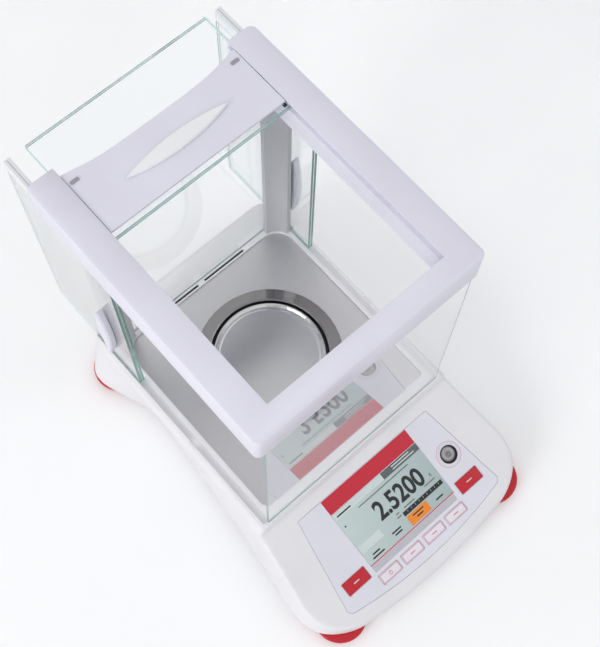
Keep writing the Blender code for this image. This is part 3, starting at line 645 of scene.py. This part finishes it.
def add_glass():
    for node in ("front_glass", "rear_glass", "top_door_front_pane", "top_door_rear_pane"):
        pane(node)
    for side in ("left", "right"):
        for end in ("front", "rear"):
            pane(f"{side}_door_{end}_pane")


# ---- Control panel ----

def on_panel(name, outline, material, low=PROUD, high=PROUD + INK, body="base", slot="panel"):
    made = mesh_object(name, loft([(outline, low), (outline, high)]), M[material], PANEL)
    return belongs(made, body, slot)


def text_on_panel(name, words, x, down, height, material, level, width=1.0, weight=0.0):
    """Plain characters, with their lower left corner at x and a distance down the slope."""
    curve = bpy.data.curves.new(name, "FONT")
    curve.body = words
    curve.size = height / 0.73
    curve.extrude = INK / 2
    curve.offset = weight
    helper = bpy.data.objects.new(name, curve)
    SCENE.collection.objects.link(helper)
    bpy.context.view_layer.update()
    shape = bpy.data.meshes.new_from_object(helper.evaluated_get(bpy.context.evaluated_depsgraph_get()))
    bpy.data.objects.remove(helper)
    left = min(v.co.x for v in shape.vertices)
    bm = bmesh.new()
    bm.from_mesh(shape)
    bpy.data.meshes.remove(shape)
    bmesh.ops.translate(bm, verts=bm.verts, vec=(-left, 0, 0))
    bmesh.ops.scale(bm, verts=bm.verts, vec=(width, 1, 1))
    bmesh.ops.translate(bm, verts=bm.verts, vec=(x, -down, level + INK / 2))
    return belongs(mesh_object(name, bm, M[material], PANEL), "base", "panel")


def add_display():
    half, top, low = WINDOW_HALF, WINDOW_TOP, WINDOW_LOW
    glass = mesh_object("display_face", loft([
        (rectangle(-half, half, -low, -top), -PANEL_THICK), (rectangle(-half, half, -low, -top), 0)]),
        M["display"], PANEL)
    bevel(glass, 0.00015, 2)
    belongs(glass, "base", "glass", "display_window")
    on_panel("bar_red", rectangle(-half, half, -0.0142, -0.0004), "ink_red")
    on_panel("header_dark", rectangle(0.0069, half, -0.0211, -top), "ink_grey")
    on_panel("header_pale", rectangle(-half, 0.0068, -0.0208, -top), "ink_pale")
    on_panel("gauge", rectangle(0.0014, 0.0451, -0.0562, -0.0522), "ink_black")
    on_panel("tile_orange", rectangle(0.0017, 0.0236, -0.0665, -0.0571), "ink_orange")
    on_panel("tile_pale", rectangle(-0.0460, -0.0225, -0.0560, -0.0490), "ink_pale")
    on_panel("line_red", rectangle(-half, half, -0.0686, -0.0678), "ink_red", PROUD * 3, PROUD * 3 + INK)
    on_panel("strip_grey", rectangle(-half, half - 0.001, -0.0750, -0.0690), "ink_strip")
    text_on_panel("reading", "2.5200", -0.0165, 0.0455, 0.0165, "ink_black", PROUD, 0.84, 0.0006)
    text_on_panel("unit", "g", 0.0395, 0.0440, 0.0030, "ink_black", PROUD)
    dashes = [(-0.0440, 0.0185, 0.0150, 0.0013, "ink_black"), (0.0180, 0.0166, 0.0200, 0.0009, "ink_pale"),
              (0.0180, 0.0190, 0.0240, 0.0009, "ink_pale"), (-0.0250, 0.0242, 0.0560, 0.0008, "ink_grey"),
              (-0.0440, 0.0290, 0.0016, 0.0016, "ink_black"), (-0.0040, 0.0500, 0.0035, 0.0009, "ink_grey"),
              (0.0050, 0.0500, 0.0120, 0.0009, "ink_grey"), (0.0300, 0.0480, 0.0120, 0.0008, "ink_grey"),
              (-0.0050, 0.0530, 0.0050, 0.0009, "ink_grey"),
              (-0.0165, 0.0598, 0.0100, 0.0013, "ink_black"), (-0.0150, 0.0625, 0.0080, 0.0013, "ink_black"),
              (0.0310, 0.0632, 0.0080, 0.0013, "ink_black"), (-0.0400, 0.0618, 0.0080, 0.0013, "ink_black"),
              (-0.0420, 0.0648, 0.0130, 0.0013, "ink_black"),
              (0.0070, 0.0598, 0.0120, 0.0011, "ink_black"), (0.0095, 0.0628, 0.0070, 0.0013, "ink_black")]
    for index, (x, down, length, thick, ink) in enumerate(dashes):
        area = rounded(x, x + length, -down - thick / 2, -down + thick / 2, thick * 0.45, 3)
        on_panel(f"dash_{index:02d}", area, ink, PROUD + INK, PROUD + 2 * INK)
    for index in range(9):
        x = 0.0060 + index * 0.0044
        on_panel(f"tick_{index}", rectangle(x, x + 0.0003, -0.0545, -0.0530), "ink_pale", PROUD + INK,
                 PROUD + 2 * INK)


def add_keys():
    for node, body in BODY_OF.items():
        if not node.startswith("key_") or node == "key_board":
            continue
        slot = SLOT_OF[node]
        refined(node, M[slot], 0.0002, 2)
        shape = [PANEL.inverted() @ v.co for v in NODES[node].data.vertices]
        top = max(p.z for p in shape)
        xs = [p.x for p in shape]
        ys = [p.y for p in shape]
        face = rounded(min(xs) + 0.0004, max(xs) - 0.0004, min(ys) + 0.0004, max(ys) - 0.0004, 0.0006)
        low = top + PROUD
        outer, inner = [
            rounded(min(xs) - gap, max(xs) + gap, min(ys) - gap, max(ys) + gap, radius)
            for gap, radius in ((0.00035, 0.0006), (0.00012, 0.0004))
        ]
        web = band(outer, inner, -0.0009, -0.00015)
        belongs(mesh_object(f"{node}_web", web, M["panel"], PANEL), "base", "panel")
        if slot == "key":
            frame_line = band(face, inset(face, 0.0005), low, low + INK)
            line = mesh_object(f"{node}_line", frame_line, M["ink_pink"], PANEL)
            belongs(line, body, slot)
        x, y = (min(xs) + max(xs)) / 2, (min(ys) + max(ys)) / 2
        if node == "key_power":
            round_line = band(circle(x, y, 0.0016, 32), circle(x, y, 0.0013, 32), low, low + INK)
            ring = mesh_object("power_ring", round_line, M["ink_red"], PANEL)
            belongs(ring, body, slot)
            stroke = rectangle(x - 0.00015, x + 0.00015, y, y + 0.0021)
            on_panel("power_stroke", stroke, "ink_red", low, low + INK, body, slot)
            continue
        length, ink = (0.0050, "ink_pink") if slot == "key" else (0.0058, "ink_pale")
        mark = rounded(x - length / 2, x + length / 2, y - 0.00045, y + 0.00045, 0.0003, 3)
        on_panel(f"{node}_mark", mark, ink, low, low + INK, body, slot)


def turned(name, profile, material, transform, steps=64):
    """A solid of revolution about Z from a profile that starts and ends on the axis."""
    bm = bmesh.new()
    rings = []
    for radius, z in profile:
        count = steps if radius > 0 else 1
        rings.append([bm.verts.new((radius * math.cos(2 * math.pi * i / steps),
                                    radius * math.sin(2 * math.pi * i / steps), z)) for i in range(count)])
    for first, second in zip(rings, rings[1:]):
        for i in range(steps):
            j = (i + 1) % steps
            corners = [first[i % len(first)], first[j % len(first)],
                       second[j % len(second)], second[i % len(second)]]
            bm.faces.new(list(dict.fromkeys(corners)))
    return mesh_object(name, bm, material, transform)


def level_material(centre):
    made = Shader("level_fluid", roughness=0.12, coat_weight=1.0, coat_roughness=0.02)
    place = made.coordinates((1, 1, 0), centre)
    length = made.node("VectorMath", operation="LENGTH")
    made.link(place, length.inputs[0])
    share = made.maths("DIVIDE", length.outputs["Value"], 0.0075)
    colour = made.ramp(share, (0.0, linear(120, 114, 118)), (0.30, linear(150, 146, 150)),
                       (0.62, linear(168, 166, 170)), (0.80, linear(110, 106, 110)),
                       (1.0, linear(48, 46, 48)))
    made.link(colour, made.principled.inputs["Base Color"])
    return made.material


def add_level():
    cup = middle("level_vial")
    place = PANEL.inverted() @ cup
    x, y = place.x, place.y
    here = PANEL @ Matrix.Translation((x, y, 0))
    dome = [(0, -0.0053), (0.0068, -0.0053), (0.0070, -0.0012), (0.0060, -0.0005), (0.0035, -0.0003),
            (0, -0.0002)]
    vial = turned("level_dome", dome, level_material(cup), here)
    belongs(vial, "base", "glass", "level_vial")
    for name, radius, width in (("level_circle", 0.0026, 0.0003), ("level_bubble", 0.0016, 0.0004)):
        ring = band(circle(0, 0, radius), circle(0, 0, radius - width), -0.00018, -0.00006)
        belongs(mesh_object(name, ring, M["ink_grey"], here), "base", "glass")
    halo = band(circle(x, y, 0.0112), circle(x, y, 0.0109), PROUD, PROUD + INK)
    belongs(mesh_object("level_halo", halo, M["ink_pink"], PANEL), "base", "panel")
    rim = band(circle(x, y, 0.0093), circle(x, y, 0.0080), PROUD, 0.0006)
    rim_piece = mesh_object("level_rim", rim, M["panel"], PANEL)
    belongs(bevel(rim_piece, 0.0002, 3), "base", "panel")


# ---- Painted shade in the slots behind the floor ----

def add_painted_slot_shade():
    """Black blocks in the two slots behind the floor plate, painted shade where the slots lie in shadow."""
    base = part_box("draft_shield_base")
    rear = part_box("floor_plate")[1].y
    for side in (-1, 1):
        near, far = sorted((PAN.x + side * 0.0037, PAN.x + side * 0.0468))
        # Each black block stands where there is only shade: it is painted shade, not a part.
        shade_block = block((near, rear + 0.0015, base[0].z + 0.0022), (far, rear + 0.0031, base[1].z - 0.0006))
        name = "slot_shade_left" if side < 0 else "slot_shade_right"
        belongs(mesh_object(name, shade_block, M["black"]), "base", "black")


# ---- Small fittings of the sliding top ----

def add_latches():
    """Two grey catches at the plate's rear corners, and a stop at its front right corner."""
    body, top = BODY_OF["top_door_plate"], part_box("top_door_plate")[1].z
    for name, x, y in (("catch_left", -0.0705, 0.1125), ("catch_right", 0.0695, 0.1135)):
        x, y = PAN.x + x, PAN.y + y
        area = rounded(x - 0.0034, x + 0.0034, y - 0.0014, y + 0.0014, 0.0008, 4)
        catch = mesh_object(name, loft([(area, top + PROUD), (area, top + 0.0009)]), M["catch"])
        belongs(bevel(catch, 0.0003, 2), body, "frame")
    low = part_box("top_door_front_pane")[1].z + PROUD
    area = rounded(PAN.x + 0.0722, PAN.x + 0.0748, PAN.y + 0.0643, PAN.y + 0.0668, 0.0006, 4)
    stop = mesh_object("top_door_stop", loft([(area, low), (area, low + 0.0016)]), M["rubber"])
    belongs(bevel(stop, 0.0003, 2), body, "rubber")


# ---- Everything else keeps its CAD shape ----

def add_bodies():
    rounding = {
        "top_frame": 0.0012, "top_door_plate": 0.0006, "draft_shield_base": 0.0006, "floor_plate": 0.0003,
        "left_door_front_carrier": 0.0005, "left_door_rear_carrier": 0.0005,
        "right_door_front_carrier": 0.0005, "right_door_rear_carrier": 0.0005,
        "top_door_grip": 0.0008, "left_door_grip": 0.0008, "right_door_grip": 0.0008,
    }
    special = {"weighing_pan": "pan_steel", "top_door_grip": "grip"}
    for node, obj in NODES.items():
        material = M[special.get(node, SLOT_OF[node])]
        obj.data.materials.clear()
        obj.data.materials.append(material)
        if node in rounding:
            refined(node, material, rounding[node])


# ---- Floor, light and camera ----

def add_floor():
    bm = loft([(rectangle(-3, 3, -3, 3), -0.01), (rectangle(-3, 3, -3, 3), 0)])
    made = Shader("floor_paper", roughness=0.9)
    made.vary_colour(made.noise(made.coordinates(), 6, 2), linear(246, 246, 247), linear(249, 249, 250))
    glow = made.node("Emission")
    glow.inputs["Strength"].default_value = 0.13
    light = made.node("LightPath")
    seen = made.node("MixShader")
    both = made.node("AddShader")
    made.link(made.principled.outputs["BSDF"], both.inputs[0])
    made.link(glow.outputs["Emission"], both.inputs[1])
    clear = made.maths("MAXIMUM", light.outputs["Is Camera Ray"], light.outputs["Is Transmission Ray"])
    made.link(clear, seen.inputs["Fac"])
    made.link(made.principled.outputs["BSDF"], seen.inputs[1])
    made.link(both.outputs["Shader"], seen.inputs[2])
    distance = made.node("VectorMath", operation="LENGTH")
    made.link(made.coordinates((1, 1, 0), PAN), distance.inputs[0])
    part = made.maths("MULTIPLY", distance.outputs["Value"], 0.33)
    haze = made.ramp(part, (0.28, (0, 0, 0, 1)), (0.85, (1, 1, 1, 1)))
    far = made.node("Emission")
    far.inputs["Color"].default_value = linear(253, 253, 253)
    fade = made.node("MixShader")
    made.link(made.maths("MULTIPLY", haze, clear), fade.inputs["Fac"])
    made.link(seen.outputs["Shader"], fade.inputs[1])
    made.link(far.outputs["Emission"], fade.inputs[2])
    made.link(fade.outputs["Shader"], made.nodes["Material Output"].inputs["Surface"])
    mesh_object("floor", bm, made.material)


def add_world():
    """Even light all round. Mirrors see a studio that is greyer low down, and the camera sees white."""
    world = bpy.data.worlds.new("studio")
    SCENE.world = world
    world.use_nodes = True
    nodes, links = world.node_tree.nodes, world.node_tree.links
    lit = nodes["Background"]
    lit.inputs["Color"].default_value = (0.97, 0.98, 1.0, 1.0)
    lit.inputs["Strength"].default_value = 0.72
    seen = nodes.new("ShaderNodeBackground")
    seen.inputs["Color"].default_value = linear(253, 253, 253)
    mirrored = nodes.new("ShaderNodeBackground")
    place = nodes.new("ShaderNodeTexCoord")
    split = nodes.new("ShaderNodeSeparateXYZ")
    ramp = nodes.new("ShaderNodeValToRGB")
    stops = ((0.0, 0.35), (0.35, 0.50), (0.62, 0.95), (1.0, 0.80))
    while len(ramp.color_ramp.elements) < len(stops):
        ramp.color_ramp.elements.new(0.5)
    for point, (height, level) in zip(ramp.color_ramp.elements, stops):
        point.position = height
        point.color = (level, level, level * 1.01, 1)
    links.new(place.outputs["Generated"], split.inputs["Vector"])
    links.new(split.outputs["Z"], ramp.inputs["Fac"])
    links.new(ramp.outputs["Color"], mirrored.inputs["Color"])
    path = nodes.new("ShaderNodeLightPath")
    for_mirrors = nodes.new("ShaderNodeMixShader")
    links.new(path.outputs["Is Glossy Ray"], for_mirrors.inputs["Fac"])
    links.new(lit.outputs["Background"], for_mirrors.inputs[1])
    links.new(mirrored.outputs["Background"], for_mirrors.inputs[2])
    through = nodes.new("ShaderNodeMath")
    through.operation = "MAXIMUM"
    links.new(path.outputs["Is Camera Ray"], through.inputs[0])
    links.new(path.outputs["Is Transmission Ray"], through.inputs[1])
    for_eyes = nodes.new("ShaderNodeMixShader")
    links.new(through.outputs["Value"], for_eyes.inputs["Fac"])
    links.new(for_mirrors.outputs["Shader"], for_eyes.inputs[1])
    links.new(seen.outputs["Background"], for_eyes.inputs[2])
    links.new(for_eyes.outputs["Shader"], nodes["World Output"].inputs["Surface"])


def add_lamp(name, place, size, power):
    lamp = bpy.data.lights.new(name, "AREA")
    lamp.shape = "DISK"
    lamp.size = size
    lamp.energy = power
    made = bpy.data.objects.new(name, lamp)
    SCENE.collection.objects.link(made)
    made.location = place
    made.rotation_euler = (PAN - Vector(place)).to_track_quat("-Z", "Y").to_euler()


def add_camera():
    lens = bpy.data.cameras.new("camera")
    lens.lens = 67.2532
    lens.sensor_width = 36
    made = bpy.data.objects.new("camera", lens)
    SCENE.collection.objects.link(made)
    made.location = (PAN.x - 0.21540, PAN.y - 0.26261, 1.03733)
    made.rotation_euler = Euler([math.radians(angle) for angle in (21.17018, -0.77446, -41.44149)])
    SCENE.camera = made


add_bodies()
add_housing()
add_film()
add_glass()
add_display()
add_keys()
add_level()
add_painted_slot_shade()
add_latches()
add_floor()
add_world()
add_lamp("key", (-2.6, -0.25, 1.5), 1.4, 28.0)
add_lamp("fill", (0.9, -0.8, 1.4), 0.9, 1.0)
add_camera()
SCENE.view_settings.view_transform = "Standard"
